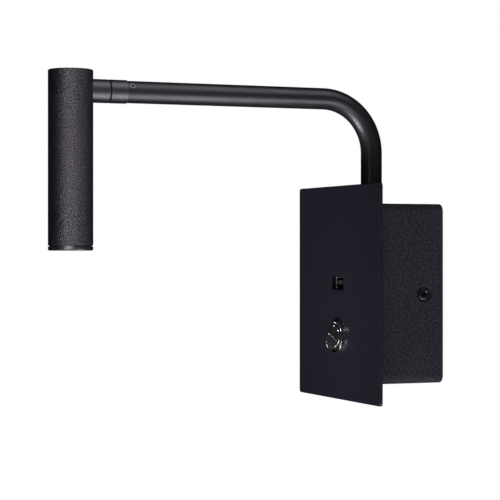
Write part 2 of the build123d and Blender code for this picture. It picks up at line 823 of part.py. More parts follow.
with BuildPart() as led_screws:
    with BuildSketch(up(led_board_foot - led_screw_head_height, head_axis_out)):
        with GridLocations(2 * led_screw_place, 0, 2, 1):
            Circle(led_screw_head_radius)
    extrude(amount=led_screw_head_height)
    with BuildSketch(up(led_board_foot, head_axis_out)):
        with GridLocations(2 * led_screw_place, 0, 2, 1):
            Circle(led_screw_radius)
    extrude(amount=led_screw_length)

with BuildPart() as heat_sink:
    with BuildSketch(up(led_board_top, head_axis_out)):
        Circle(sink_radius)
        with Locations((0, -head_lead_place)):
            Circle(lead_radius + drill_gap, mode=Mode.SUBTRACT)
    extrude(amount=sink_length)
    with BuildSketch(up(led_board_top, head_axis_out)):
        with GridLocations(2 * led_screw_place, 0, 2, 1):
            Circle(led_screw_radius + seat_gap)
    extrude(amount=led_screw_length, mode=Mode.SUBTRACT)

# ---- USB port ----------------------------------------------------------------
with BuildPart() as usb_shell:
    with BuildSketch(out(usb_front_out - usb_shell_length, 0, usb_z)):
        RectangleRounded(usb_shell_width, usb_shell_height, 2 * usb_shell_wall)
        RectangleRounded(
            usb_shell_width - 2 * usb_shell_wall, usb_shell_height - 2 * usb_shell_wall,
            usb_shell_wall, mode=Mode.SUBTRACT,
        )
    extrude(amount=usb_shell_length)

tongue_z = usb_z + tongue_rise
tongue_front_out = usb_front_out - tongue_recess

with BuildPart() as usb_tongue:
    with BuildSketch(out(usb_front_out - usb_shell_length, 0, usb_z)):
        Rectangle(
            usb_shell_width - 4 * usb_shell_wall, usb_shell_height - 2 * usb_shell_wall - 2 * seat_gap
        )
    extrude(amount=tongue_base_length)
    with BuildSketch(out(usb_front_out - usb_shell_length, 0, tongue_z)):
        Rectangle(tongue_width, tongue_thickness)
    extrude(amount=usb_shell_length - tongue_recess)

with BuildPart() as usb_contacts:
    contact_z = tongue_z - tongue_thickness / 2 - contact_thickness / 2
    with BuildSketch(out(tongue_front_out - contact_length, 0, contact_z)):
        with Locations(*[(x, 0) for x in contact_places]):
            Rectangle(contact_width, contact_thickness)
    extrude(amount=contact_length)

with BuildPart() as usb_holder:
    with BuildSketch(out(holder_back_out)):
        frame_low = usb_tray_top - tray_thickness
        frame_high = usb_z + usb_shell_height / 2 + holder_frame_top
        with Locations((0, (frame_low + frame_high) / 2)):
            Rectangle(holder_frame_width, frame_high - frame_low)
        with Locations((0, usb_z)):
            Rectangle(
                usb_shell_width + 2 * holder_frame_gap, usb_shell_height + 2 * holder_frame_gap,
                mode=Mode.SUBTRACT,
            )
        with Locations((-holder_stud_x, usb_z), (holder_stud_x, usb_z)):
            Circle(stud_radius + drill_gap, mode=Mode.SUBTRACT)
    extrude(amount=holder_frame_thickness)
    with BuildSketch(out(holder_back_out - tray_length)):
        with Locations((0, usb_tray_top - tray_thickness / 2)):
            Rectangle(usb_board_width, tray_thickness)
    extrude(amount=tray_length)
    with BuildSketch(up(usb_tray_top - tray_thickness, board_screw_out)):
        with GridLocations(2 * board_screw_x, 0, 2, 1):
            Circle(board_screw_radius + seat_gap)
    extrude(amount=tray_thickness, mode=Mode.SUBTRACT)

with BuildPart() as usb_board:
    with BuildSketch(up(usb_tray_top, usb_board_out - usb_board_length / 2)):
        Rectangle(usb_board_width, usb_board_length)
    extrude(amount=usb_board_thickness)
    with BuildSketch(up(usb_tray_top, board_screw_out)):
        with GridLocations(2 * board_screw_x, 0, 2, 1):
            Circle(board_screw_radius + drill_gap)
    extrude(amount=usb_board_thickness, mode=Mode.SUBTRACT)

with BuildPart() as board_screws:
    with BuildSketch(up(usb_tray_top - tray_thickness, board_screw_out)):
        with GridLocations(2 * board_screw_x, 0, 2, 1):
            Circle(board_screw_radius)
    extrude(amount=tray_thickness + usb_board_thickness)
    with BuildSketch(up(usb_board_top, board_screw_out)):
        with GridLocations(2 * board_screw_x, 0, 2, 1):
            Circle(board_screw_head_radius)
    extrude(amount=board_screw_head_height)

with BuildPart() as usb_chip:
    with BuildSketch(up(usb_board_top, usb_board_out - chip_place)):
        Rectangle(chip_size[0], chip_size[1])
    extrude(amount=chip_size[2])

with BuildPart() as usb_coil:
    with BuildSketch(up(usb_board_top, usb_board_out - coil_place, coil_x)):
        Rectangle(coil_size[0], coil_size[1])
    extrude(amount=coil_size[2])
    chamfer(usb_coil.edges().filter_by(Axis.Z), coil_chamfer)

usb_capacitor = turned(
    up(usb_board_top, usb_board_out - capacitor_place, capacitor_x),
    capacitor_radius, 0, capacitor_height,
)

# ---- Rocker switch -----------------------------------------------------------
switch_middle = Vector(0, -pivot_out, switch_z)
switch_axle = Vector(math.cos(turn), 0, -math.sin(turn))
switch_up = Vector(math.sin(turn), 0, math.cos(turn))


def along_axle(place):
    """Plane across the rocker's axle, at a distance from the middle of the switch."""
    return Plane(origin=switch_middle + switch_axle * place, x_dir=(0, 1, 0), z_dir=switch_axle)


with BuildPart() as switch_body:
    with BuildSketch(out(plate_front_out, 0, switch_z)):
        Circle(bezel_radius)
    extrude(amount=bezel_proud)
    fillet(switch_body.edges().sort_by(Axis.Y)[0], bezel_round)
    with BuildSketch(out(barrel_end_out, 0, switch_z)):
        Circle(barrel_radius)
    extrude(amount=barrel_length)
    with BuildSketch(out(bezel_front_out - pocket_depth, 0, switch_z)):
        Circle(pocket_radius)
    extrude(amount=pocket_depth, mode=Mode.SUBTRACT)
    with BuildSketch(along_axle(-pocket_radius - pivot_pin_hold - seat_gap)):
        Circle(pivot_pin_radius + seat_gap)
    extrude(amount=2 * (pocket_radius + pivot_pin_hold + seat_gap), mode=Mode.SUBTRACT)

switch_nut = turned(
    out(box_depth - switch_nut_height, 0, switch_z),
    switch_nut_radius, barrel_radius + seat_gap, switch_nut_height,
)
switch_pin = turned(
    along_axle(-pocket_radius - pivot_pin_hold),
    pivot_pin_radius, 0, 2 * (pocket_radius + pivot_pin_hold),
)

blade_plane = Plane(origin=(0, -blade_end_out, switch_z), x_dir=switch_axle, z_dir=(0, -1, 0))

with BuildPart() as switch_terminals:
    with BuildSketch(blade_plane):
        with GridLocations(0, 2 * blade_offset, 1, 2):
            Rectangle(blade_width, blade_thickness)
    extrude(amount=blade_length)

# The rocker lies with its upper half pressed in. Its face is a shallow V.
tilt = math.radians(rocker_tilt)
rocker_front = Vector(0, -math.cos(tilt), 0) + switch_up * math.sin(tilt)
rocker_plane = Plane(origin=switch_middle, x_dir=switch_axle, z_dir=rocker_front)
rocker_profile_plane = Plane(
    origin=switch_middle - switch_axle * rocker_radius, x_dir=rocker_plane.y_dir, z_dir=switch_axle
)
rocker_edge_height = rocker_cover + rocker_radius * math.tan(tilt)

with BuildPart() as rocker:
    with BuildSketch(rocker_profile_plane):
        with BuildLine():
            Polyline(
                (0, -rocker_cover),
                (rocker_radius, -rocker_edge_height),
                (rocker_radius, rocker_back),
                (-rocker_radius, rocker_back),
                (-rocker_radius, -rocker_edge_height),
                close=True,
            )
        make_face()
    extrude(amount=2 * rocker_radius)
    with BuildSketch(rocker_plane.offset(-rocker_radius)):
        Circle(rocker_radius)
    extrude(amount=2 * rocker_radius, mode=Mode.INTERSECT)
    with BuildSketch(along_axle(-rocker_radius)):
        Circle(pivot_pin_radius + turning_gap)
    extrude(amount=2 * rocker_radius, mode=Mode.SUBTRACT)

# ---- Supply for the light and the leads ----------------------------------------
with BuildPart() as driver_case:
    with BuildSketch(up(driver_foot, driver_out + driver_depth / 2, driver_x)):
        Rectangle(driver_width, driver_depth)
    extrude(amount=driver_height)
    fillet(driver_case.edges().filter_by(Axis.Z), driver_round)

with BuildPart() as driver_pad:
    with BuildSketch(out(bracket_thickness, driver_x, driver_foot + driver_height / 2)):
        Rectangle(driver_width - 2 * driver_round, driver_height - 2 * driver_round)
    extrude(amount=pad_thickness)

switched_out = blade_end_out - switched_turn
neutral_out = pole_out - neutral_dip
usb_lead_out = usb_board_out - usb_board_length + usb_lead_inset
led_lead_x = driver_x + lead_spacing
led_lead_z = stem_foot - led_lead_level

mains_routes = (
    (
        (block_left, -pole_out, upper_pole_z), (blade_x, -pole_out, upper_pole_z),
        (blade_x, -blade_end_out, upper_blade_z),
    ),
    (
        (-blade_x, -blade_end_out, lower_blade_z), (-blade_x, -switched_out, lower_blade_z),
        (driver_right, -switched_out, lower_blade_z),
    ),
    (
        (block_left, -pole_out, lower_pole_z), (block_left - neutral_straight, -pole_out, lower_pole_z),
        (driver_right + neutral_straight, -neutral_out, lower_pole_z),
        (driver_right, -neutral_out, lower_pole_z),
    ),
)
with BuildPart() as mains_leads:
    for mains_route in mains_routes:
        add(lead(wire_radius, wire_bend, *mains_route).part)
usb_lead = lead(
    wire_radius, wire_bend,
    (driver_x, -usb_lead_out, driver_top), (driver_x, -usb_lead_out, usb_tray_top),
    (-usb_board_width / 2, -usb_lead_out, usb_tray_top),
)
led_lead = lead(
    lead_radius, wire_bend,
    (led_lead_x, -arm_standoff, driver_top), (led_lead_x, -arm_standoff, led_lead_z),
    (0, -arm_standoff, led_lead_z), (0, -arm_standoff, stem_foot - lead_gap),
)
arm_lead = lead(
    lead_radius, bend_radius,
    (0, -arm_standoff, stem_foot), (0, -arm_standoff, arm_z),
    (0, -(swivel_pin_end_out - lead_gap), arm_z),
)
head_lead = lead(
    lead_radius, head_lead_bend,
    (0, -swivel_pin_end_out, arm_z), (0, -(head_axis_out + head_lead_place), arm_z),
    (0, -(head_axis_out + head_lead_place), led_board_top),
)

# ---- Write each piece to its own file ------------------------------------------
pieces = {
    "front_plate": front_plate,
    "housing": housing,
    "plate_studs": plate_studs,
    "plate_nuts": plate_nuts,
    "wall_bracket": wall_bracket,
    "clinch_nuts": clinch_nuts,
    "side_screws": side_screws,
    "cable_grommet": cable_grommet,
    "terminal_block": terminal_block,
    "terminal_screws": terminal_screws,
    "block_screw": block_screw,
    "earth_washer": earth_washer,
    "earth_screw": earth_screw,
    "arm_bush": arm_bush,
    "bush_nut": bush_nut,
    "thrust_washer": thrust_washer,
    "stop_pin": stop_pin,
    "arm_tube": arm_tube,
    "arm_stem": arm_stem,
    "spring_washer": spring_washer,
    "stop_collar": stop_collar,
    "stem_nut": stem_nut,
    "swivel_socket": swivel_socket,
    "socket_grub_screw": socket_grub_screw,
    "head_collar": head_collar,
    "stop_dowel": stop_dowel,
    "swivel_pin": swivel_pin,
    "swivel_washer": swivel_washer,
    "swivel_nut": swivel_nut,
    "head_tube": head_tube,
    "head_cap": head_cap,
    "lens_ring": lens_ring,
    "lens": lens,
    "lens_holder": lens_holder,
    "led_board": led_board,
    "led_chip": led_chip,
    "led_screws": led_screws,
    "heat_sink": heat_sink,
    "usb_shell": usb_shell,
    "usb_tongue": usb_tongue,
    "usb_contacts": usb_contacts,
    "usb_holder": usb_holder,
    "usb_board": usb_board,
    "board_screws": board_screws,
    "usb_chip": usb_chip,
    "usb_coil": usb_coil,
    "usb_capacitor": usb_capacitor,
    "switch_body": switch_body,
    "switch_nut": switch_nut,
    "switch_pin": switch_pin,
    "switch_terminals": switch_terminals,
    "rocker": rocker,
    "driver_case": driver_case,
    "driver_pad": driver_pad,
    "mains_leads": mains_leads,
    "usb_lead": usb_lead,
    "led_lead": led_lead,
    "arm_lead": arm_lead,
    "head_lead": head_lead,
}

os.makedirs("parts", exist_ok=True)
for name, piece in pieces.items():
    piece.part.label = name
    export_step(piece.part, f"parts/{name}.step")
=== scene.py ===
import json
import math

import bmesh
import bpy
from mathutils import Matrix, Vector


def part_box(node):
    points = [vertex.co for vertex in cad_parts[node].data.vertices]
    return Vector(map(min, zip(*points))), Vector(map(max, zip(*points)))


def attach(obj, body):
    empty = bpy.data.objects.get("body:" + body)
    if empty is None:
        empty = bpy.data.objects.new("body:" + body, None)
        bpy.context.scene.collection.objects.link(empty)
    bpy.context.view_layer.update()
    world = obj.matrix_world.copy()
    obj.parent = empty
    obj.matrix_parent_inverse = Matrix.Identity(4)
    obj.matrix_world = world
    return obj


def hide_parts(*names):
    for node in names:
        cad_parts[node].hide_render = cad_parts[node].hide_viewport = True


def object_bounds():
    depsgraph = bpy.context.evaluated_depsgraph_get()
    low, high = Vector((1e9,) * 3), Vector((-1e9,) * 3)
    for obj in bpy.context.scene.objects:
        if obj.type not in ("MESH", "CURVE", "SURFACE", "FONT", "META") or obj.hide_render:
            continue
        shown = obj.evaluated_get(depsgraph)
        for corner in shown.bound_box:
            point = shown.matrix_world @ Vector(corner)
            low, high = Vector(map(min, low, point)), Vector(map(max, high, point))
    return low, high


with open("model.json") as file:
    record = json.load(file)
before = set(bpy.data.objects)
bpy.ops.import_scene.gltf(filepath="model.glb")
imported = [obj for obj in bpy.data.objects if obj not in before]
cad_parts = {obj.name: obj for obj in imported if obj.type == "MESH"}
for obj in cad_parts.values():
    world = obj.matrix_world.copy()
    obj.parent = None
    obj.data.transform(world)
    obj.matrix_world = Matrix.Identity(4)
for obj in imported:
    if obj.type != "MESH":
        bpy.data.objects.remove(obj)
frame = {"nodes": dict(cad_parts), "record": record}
cad_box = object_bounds()
nodes = frame["nodes"]
scene = bpy.context.scene
MM = 0.001
BACK = Vector((0, 1, 0))    # towards the wall


def middle_of(node):
    low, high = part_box(node)
    return (low + high) / 2


# ---- Camera ------------------------------------------------------------------
# A level camera that looks past the plate from its right. It aims above the middle of
# the plate's front, and to the left of it as the camera sees it.
IMAGE_PIXELS = 500
FOCAL_PIXELS = 1778
SENSOR_WIDTH = 36.0
VIEW_AZIMUTH = math.radians(68.18)
VIEW_DISTANCE = 834.2 * MM
AIM_LEFT = 41.1 * MM
AIM_HEIGHT = 19.9 * MM
CLIP_START = 10 * MM
plate_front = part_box("front_plate")[0].y


def add_camera():
    forward = Vector((-math.sin(VIEW_AZIMUTH), math.cos(VIEW_AZIMUTH), 0))
    right = Vector((math.cos(VIEW_AZIMUTH), math.sin(VIEW_AZIMUTH), 0))
    upward = right.cross(forward)
    place = Vector((0, plate_front, 0)) - forward * VIEW_DISTANCE
    place += upward * AIM_HEIGHT - right * AIM_LEFT
    camera = bpy.data.objects.new("camera", bpy.data.cameras.new("camera"))
    camera.data.sensor_width = SENSOR_WIDTH
    camera.data.lens = FOCAL_PIXELS / IMAGE_PIXELS * SENSOR_WIDTH
    camera.data.clip_start = CLIP_START
    turn = Matrix((right, upward, -forward)).transposed()
    camera.matrix_world = Matrix.Translation(place) @ turn.to_4x4()
    scene.collection.objects.link(camera)
    scene.camera = camera


# ---- Nodes of a material -----------------------------------------------------
NOISE_LOW, NOISE_HIGH = 0.3, 0.7    # nearly all of a noise lies between these
MIX_FIRST, MIX_SECOND, MIX_RESULT = 6, 7, 2     # sockets of the mix node for colors


class Paint:
    """A new material: its shader, the coordinates of the object and short node calls."""

    def __init__(self, name, color, roughness, metallic=0.0, specular=0.5):
        self.material = bpy.data.materials.new(name)
        self.material.use_nodes = True
        self.tree = self.material.node_tree
        self.shader = self.tree.nodes["Principled BSDF"]
        self.shader.inputs["Base Color"].default_value = (*color, 1)
        self.shader.inputs["Roughness"].default_value = roughness
        self.shader.inputs["Metallic"].default_value = metallic
        self.shader.inputs["Specular IOR Level"].default_value = specular
        self.place = self.node("ShaderNodeTexCoord").outputs["Object"]
        self.normal = None

    def node(self, kind, **settings):
        made = self.tree.nodes.new(kind)
        for key, value in settings.items():
            setattr(made, key, value)
        return made

    def link(self, output, entry):
        self.tree.links.new(output, entry)

    def stretched(self, factors):
        """Object coordinates with each axis scaled."""
        mapping = self.node("ShaderNodeMapping")
        self.link(self.place, mapping.inputs["Vector"])
        mapping.inputs["Scale"].default_value = factors
        return mapping.outputs["Vector"]

    def noise(self, size, detail=2.0, rough=0.5, place=None):
        """Noise whose features are about a size in metres."""
        made = self.node("ShaderNodeTexNoise")
        self.link(place or self.place, made.inputs["Vector"])
        made.inputs["Scale"].default_value = 1 / size
        made.inputs["Detail"].default_value = detail
        made.inputs["Roughness"].default_value = rough
        return made.outputs["Fac"]

    def cells(self, size, feature="F1"):
        """Distance to the nearest of many points that lie about a size apart."""
        made = self.node("ShaderNodeTexVoronoi", feature=feature)
        self.link(self.place, made.inputs["Vector"])
        made.inputs["Scale"].default_value = 1 / size
        return made.outputs["Distance"]

    def spread(self, value, low=NOISE_LOW, high=NOISE_HIGH, to_low=0, to_high=1):
        """Value mapped from one range to another, kept inside it."""
        made = self.node("ShaderNodeMapRange")
        self.link(value, made.inputs["Value"])
        made.inputs["From Min"].default_value = low
        made.inputs["From Max"].default_value = high
        made.inputs["To Min"].default_value = to_low
        made.inputs["To Max"].default_value = to_high
        return made.outputs["Result"]

    def blend_colors(self, factor, first, second):
        made = self.node("ShaderNodeMix", data_type="RGBA")
        self.link(factor, made.inputs["Factor"])
        made.inputs[MIX_FIRST].default_value = (*first, 1)
        made.inputs[MIX_SECOND].default_value = (*second, 1)
        self.link(made.outputs[MIX_RESULT], self.shader.inputs["Base Color"])

    def vary_roughness(self, noise, low, high):
        varied = self.spread(noise, to_low=low, to_high=high)
        self.link(varied, self.shader.inputs["Roughness"])

    def paint_shade_behind(self, plane, start, reach, share):
        """Paints shade into the color behind an upright plane that faces the front: the color
        grows darker from there.
        """
        axes = self.node("ShaderNodeSeparateXYZ")
        self.link(self.place, axes.inputs[0])
        behind = plane + start
        kept = self.spread(axes.outputs["Y"], behind, behind + reach, 1, share)
        color = self.shader.inputs["Base Color"]
        scaled = self.node("ShaderNodeVectorMath", operation="SCALE")
        self.link(color.links[0].from_socket, scaled.inputs[0])
        self.link(kept, scaled.inputs["Scale"])
        self.link(scaled.outputs[0], color)

    def bump(self, height, depth):
        """Raises the surface by a height map, on top of any bump before it."""
        made = self.node("ShaderNodeBump")
        made.inputs["Distance"].default_value = depth
        self.link(height, made.inputs["Height"])
        if self.normal:
            self.link(self.normal, made.inputs["Normal"])
        self.normal = made.outputs["Normal"]
        self.link(self.normal, self.shader.inputs["Normal"])


# ---- Finishes ----------------------------------------------------------------
ARM_BLACK = (0.0076, 0.0069, 0.0086)
BLACK_SHINE = (0.94, 0.87, 1.0)     # tint of the shine on the black finishes
SLOW_SHARE = 0.2            # of a coat's unevenness that is broad, the rest is grain
SLOW_SIZE = 14 * MM
GRAIN_LOW, GRAIN_HIGH = 0.33, 0.67
WAVE_SIZE = 6 * MM
WAVE_DEPTH = 0.02 * MM
# Painted shade behind a plane: where the darkening starts, its reach and what it leaves of
# the color.
EDGE_SHADE = (0.1 * MM, 0.3 * MM, 0.4)      # painted shade on the cut edges of the plate and the walls of its holes
PORT_SHADE = (0.4 * MM, 0.4 * MM, 0.15)     # painted shade in the shell of the port
port_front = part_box("usb_shell")[0].y


def shade(color, factor):
    return tuple(channel * factor for channel in color)


def powder_coat(name, color, roughness, grain, depth, mottle, specular, edge=None):
    """Baked powder coat: a grainy skin over a slow waviness, a little uneven in tone.
    Behind the plane of an edge the color is darkened, a painted shade."""
    paint = Paint(name, color, roughness, specular=specular)
    paint.shader.inputs["Specular Tint"].default_value = (*BLACK_SHINE, 1)
    grains = paint.noise(size=grain, detail=1.5, rough=0.6)
    slow = paint.noise(size=SLOW_SIZE, detail=3)
    tone = paint.node("ShaderNodeMath", operation="MULTIPLY_ADD")
    paint.link(slow, tone.inputs[0])
    tone.inputs[1].default_value = SLOW_SHARE
    paint.link(paint.spread(grains, GRAIN_LOW, GRAIN_HIGH, 0, 1 - SLOW_SHARE), tone.inputs[2])
    paint.blend_colors(tone.outputs[0], shade(color, 1 - mottle), shade(color, 1 + mottle))
    # painted shade behind the plane of the edge
    if edge is not None:
        paint.paint_shade_behind(edge, *EDGE_SHADE)
    paint.vary_roughness(slow, roughness - 0.04, roughness + 0.04)
    paint.bump(paint.noise(size=WAVE_SIZE, detail=1), WAVE_DEPTH)
    paint.bump(grains, depth)
    return paint.material


def black_oxide(name, color, roughness):
    """Blackened steel of a screw, with faint specks."""
    screw = Paint(name, color, roughness, specular=0.9)
    screw.shader.inputs["Specular Tint"].default_value = (*BLACK_SHINE, 1)
    specks = screw.noise(size=0.3 * MM, detail=1.5)
    screw.blend_colors(screw.spread(specks), shade(color, 0.8), shade(color, 1.2))
    screw.vary_roughness(specks, roughness - 0.03, roughness + 0.05)
    screw.bump(specks, depth=0.006 * MM)
    return screw.material


def plated_steel(name, color, roughness, lip=None):
    """Bright plated steel with a slow cloudiness and fine rolling marks. Behind the plane
    of a lip its color is darkened, a painted shade."""
    metal = Paint(name, color, roughness, metallic=1.0)
    clouds = metal.noise(size=5 * MM, detail=4, rough=0.6)
    metal.blend_colors(metal.spread(clouds), shade(color, 0.86), color)
    # painted shade inside the shell, behind the lip
    if lip is not None:
        metal.paint_shade_behind(lip, *PORT_SHADE)
    metal.vary_roughness(clouds, roughness, roughness + 0.14)
    lines = metal.noise(size=0.5 * MM, detail=2, place=metal.stretched((1, 1, 0.05)))
    metal.bump(lines, depth=0.01 * MM)
    return metal.material


def turned_metal(name, color, roughness):
    """Metal off a lathe: fine rings and a little staining."""
    metal = Paint(name, color, roughness, metallic=1.0)
    stain = metal.noise(size=3 * MM, detail=4)
    metal.blend_colors(metal.spread(stain, low=0.35), color, shade(color, 0.8))
    metal.vary_roughness(stain, roughness, roughness + 0.1)
    rings = metal.noise(size=0.3 * MM, detail=1, place=metal.stretched((0.03, 1, 1)))
    metal.bump(rings, depth=0.008 * MM)
    return metal.material


def moulded(name, color, roughness, grain=0.3 * MM, depth=0.02 * MM, specular=0.5):
    """Moulded plastic with a spark-eroded skin."""
    plastic = Paint(name, color, roughness, specular=specular)
    skin = plastic.noise(size=grain, detail=3)
    flow = plastic.noise(size=9 * MM, detail=2)
    plastic.blend_colors(plastic.spread(flow), shade(color, 0.93), shade(color, 1.07))
    plastic.vary_roughness(flow, roughness - 0.03, roughness + 0.04)
    plastic.bump(skin, depth)
    return plastic.material


def circuit_board(name, color, roughness):
    """Solder mask with faint tracks under it."""
    board = Paint(name, color, roughness)
    tracks = board.cells(size=1.6 * MM, feature="F2")
    board.blend_colors(board.spread(tracks, 0.45, 0.55), shade(color, 0.7), color)
    board.bump(tracks, depth=0.03 * MM)
    board.vary_roughness(board.noise(size=2 * MM), roughness, roughness + 0.12)
    return board.material


def clear_optic(name, color, roughness):
    """Clear moulded optic with a faint ripple."""
    optic = Paint(name, color, roughness)
    optic.shader.inputs["Transmission Weight"].default_value = 1.0
    optic.shader.inputs["IOR"].default_value = 1.49
    ripple = optic.noise(size=1.5 * MM, detail=1)
    optic.vary_roughness(ripple, roughness, roughness + 0.05)
    optic.bump(ripple, depth=0.01 * MM)
    return optic.material


def soft_foam(name, color, roughness):
    """Foam rubber with open pores, its color darker in them as painted shade."""
    foam = Paint(name, color, roughness, specular=0.2)
    pores = foam.cells(size=0.5 * MM)
    # painted shade: the color is darker in the pores, where the bump sinks
    foam.blend_colors(foam.spread(pores, 0.1, 0.6), shade(color, 0.5), color)
    foam.bump(pores, depth=0.15 * MM)
    return foam.material


# The finish of each slot of the record, its color, its roughness and what else it takes.
FINISHES = {
    # the plate's coat is darkened behind its front, a painted shade
    "plate_coat": (powder_coat, (0.0095, 0.0085, 0.0136), 0.42, dict(
        grain=0.5 * MM, depth=0.004 * MM, mottle=0.04, specular=0.20, edge=plate_front)),
    "box_coat": (powder_coat, (0.0150, 0.0140, 0.0195), 0.65, dict(
        grain=1.0 * MM, depth=0.12 * MM, mottle=0.60, specular=0.06)),
    "arm_coat": (powder_coat, ARM_BLACK, 0.36, dict(
        grain=0.7 * MM, depth=0.010 * MM, mottle=0.08, specular=0.42)),
    "head_coat": (powder_coat, (0.0060, 0.0053, 0.0067), 0.40, dict(
        grain=0.65 * MM, depth=0.40 * MM, mottle=0.50, specular=0.6)),
    "collar_coat": (powder_coat, shade(ARM_BLACK, 0.9), 0.38, dict(
        grain=0.6 * MM, depth=0.006 * MM, mottle=0.06, specular=0.7)),
    "zinc_steel": (plated_steel, (0.60, 0.61, 0.63), 0.30, {}),
    "black_screw": (black_oxide, (0.0050, 0.0046, 0.0060), 0.22, {}),
    # the port's steel is darkened behind its lip, a painted shade
    "usb_steel": (plated_steel, (0.66, 0.66, 0.65), 0.20, dict(lip=port_front)),
    "turned_brass": (turned_metal, (0.78, 0.60, 0.32), 0.28, {}),
    "nylon": (moulded, (0.80, 0.79, 0.75), 0.5, {}),
    "black_plastic": (moulded, (0.014, 0.014, 0.015), 0.5, {}),
    "switch_gloss": (moulded, (0.006, 0.006, 0.007), 0.10, dict(
        grain=0.8 * MM, depth=0.004 * MM, specular=0.8)),
    "rubber": (moulded, (0.016, 0.016, 0.016), 0.75, dict(
        grain=0.4 * MM, depth=0.03 * MM, specular=0.3)),
    "board_green": (circuit_board, (0.03, 0.20, 0.09), 0.3, {}),
    "board_white": (moulded, (0.80, 0.80, 0.78), 0.4, dict(depth=0.01 * MM)),
    "phosphor": (moulded, (0.85, 0.62, 0.08), 0.6, dict(grain=0.2 * MM)),
    "lens_clear": (clear_optic, (0.97, 0.98, 0.99), 0.02, {}),
    "sink_aluminium": (turned_metal, (0.75, 0.76, 0.77), 0.32, {}),
    "gold_contact": (turned_metal, (0.50, 0.38, 0.18), 0.22, {}),
    "case_white": (moulded, (0.76, 0.76, 0.74), 0.45, dict(grain=0.4 * MM)),
    "lead_black": (moulded, (0.02, 0.02, 0.02), 0.5, dict(grain=0.5 * MM, depth=0.01 * MM)),
    "lead_red": (moulded, (0.40, 0.03, 0.02), 0.5, dict(grain=0.5 * MM, depth=0.01 * MM)),
    "foam": (soft_foam, (0.09, 0.09, 0.09), 0.95, {}),
}


def make_materials():
    return {
        slot: finish(slot, color, roughness, **rest)
        for slot, (finish, color, roughness, rest) in FINISHES.items()
    }


def dress_nodes(materials):
    for part in frame["record"]["subparts"]:
        mesh = nodes[part["node"]].data
        mesh.materials.clear()
        mesh.materials.append(materials[part["material_slot"]])


# ---- Forms of rings ----------------------------------------------------------
SHARP_ANGLE = math.radians(35)      # edges that turn more stay sharp
ARC_STEP = 15               # degrees from point to point of a rounded rim
CIRCLE_STEPS = 48
CIRCLE = [360 * step / CIRCLE_STEPS for step in range(CIRCLE_STEPS)]


def join_rings(form, rings, closed=False):
    """Quads between rings of points. Closed joins the last ring to the first."""
    rows = [[form.verts.new(point) for point in ring] for ring in rings]
    count = len(rows[0])
    following = rows[1:] + rows[:1] if closed else rows[1:]
    for near, far in zip(rows, following):
        for k in range(count):
            form.faces.new((near[k], near[(k + 1) % count], far[(k + 1) % count], far[k]))
    return rows


def join_solid(form, rings):
    """Quads between rings of points, with a face over the first ring and the last."""
    rows = join_rings(form, rings)
    form.faces.new(rows[0])
    form.faces.new(rows[-1])


def rim_arc(radius, degrees):
    """Points of an arc that starts on a flat face, as the way out and the way down."""
    for turned in range(0, degrees + 1, ARC_STEP):
        angle = math.radians(turned)
        yield radius * math.sin(angle), radius * (1 - math.cos(angle))


def add_piece(name, form, slot, body, node):
    """Object from a finished form. It rides on a body and stands for a node."""
    bmesh.ops.recalc_face_normals(form, faces=form.faces)
    mesh = bpy.data.meshes.new(name)
    form.to_mesh(mesh)
    form.free()
    mesh.shade_smooth()
    mesh.set_sharp_from_angle(angle=SHARP_ANGLE)
    mesh.materials.append(materials[slot])
    piece = bpy.data.objects.new(name, mesh)
    scene.collection.objects.link(piece)
    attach(piece, body)
    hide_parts(node)


# ---- Shell of the port -------------------------------------------------------
SHEET = 0.35 * MM
SHELL_CORNER = 0.5 * MM     # radius in the middle of the sheet
CORNER_STEPS = 6
LIP_FLARE = 0.10 * MM       # how far the lip leans out
LIP_STEPS = 6
# Distance behind the lip, and the share of the flare that the sheet has there.
FLARE_POINTS = [(1.4 * MM, 0.0), (0.9 * MM, 0.3), (0.5 * MM, 0.75)]
SPRING_PLACE = 2.9 * MM     # of the upper and lower springs, beside the middle
SPRING_START = 2.0 * MM     # behind the lip
SPRING_LENGTH = 6.5 * MM
SPRING_WIDTH = 1.8 * MM
SPRING_SHEET = 0.2 * MM
SPRING_BOW = 0.45 * MM
SPRING_EASE = 1.5           # higher values bend the ends of a spring more softly
SPRING_STEPS = 8


def shell_section():
    """Points round a cut through the sheet of the shell, from its back over the lip and
    back again, as the distance out of the middle of the sheet and behind the lip."""
    low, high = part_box("usb_shell")
    half = SHEET / 2
    straight = [(high.y - low.y, 0.0), *FLARE_POINTS, (half, 1.0)]
    section = [(half + flare * LIP_FLARE, behind) for behind, flare in straight]
    for step in range(1, LIP_STEPS):
        angle = math.pi * step / LIP_STEPS
        section.append((LIP_FLARE + half * math.cos(angle), half - half * math.sin(angle)))
    section += [(flare * LIP_FLARE - half, behind) for behind, flare in reversed(straight)]
    return section


def round_rectangle(width, height, corner):
    """Points in X and Z round a rectangle with rounded corners, each with its way out."""
    points = []
    for quarter, (side, rise) in enumerate(((1, 1), (-1, 1), (-1, -1), (1, -1))):
        middle = Vector((side * (width / 2 - corner), 0, rise * (height / 2 - corner)))
        for step in range(CORNER_STEPS + 1):
            angle = math.radians(90 * (quarter + step / CORNER_STEPS))
            outward = Vector((math.cos(angle), 0, math.sin(angle)))
            points.append((middle + outward * corner, outward))
    return points


def add_spring(form, place, outward, reach):
    """Leaf pressed out of a wall of the shell. It bows into the opening."""
    across = outward.cross(BACK) * SPRING_WIDTH / 2
    thick = outward * SPRING_SHEET
    rings = []
    for step in range(SPRING_STEPS + 1):
        along = step / SPRING_STEPS
        bow = SPRING_BOW * math.sin(math.pi * along) ** SPRING_EASE
        behind = SPRING_START + SPRING_LENGTH * along
        middle = place + outward * (reach - bow) + BACK * behind
        inner = [middle - across, middle + across]
        rings.append(inner + [middle + across + thick, middle - across + thick])
    join_solid(form, rings)


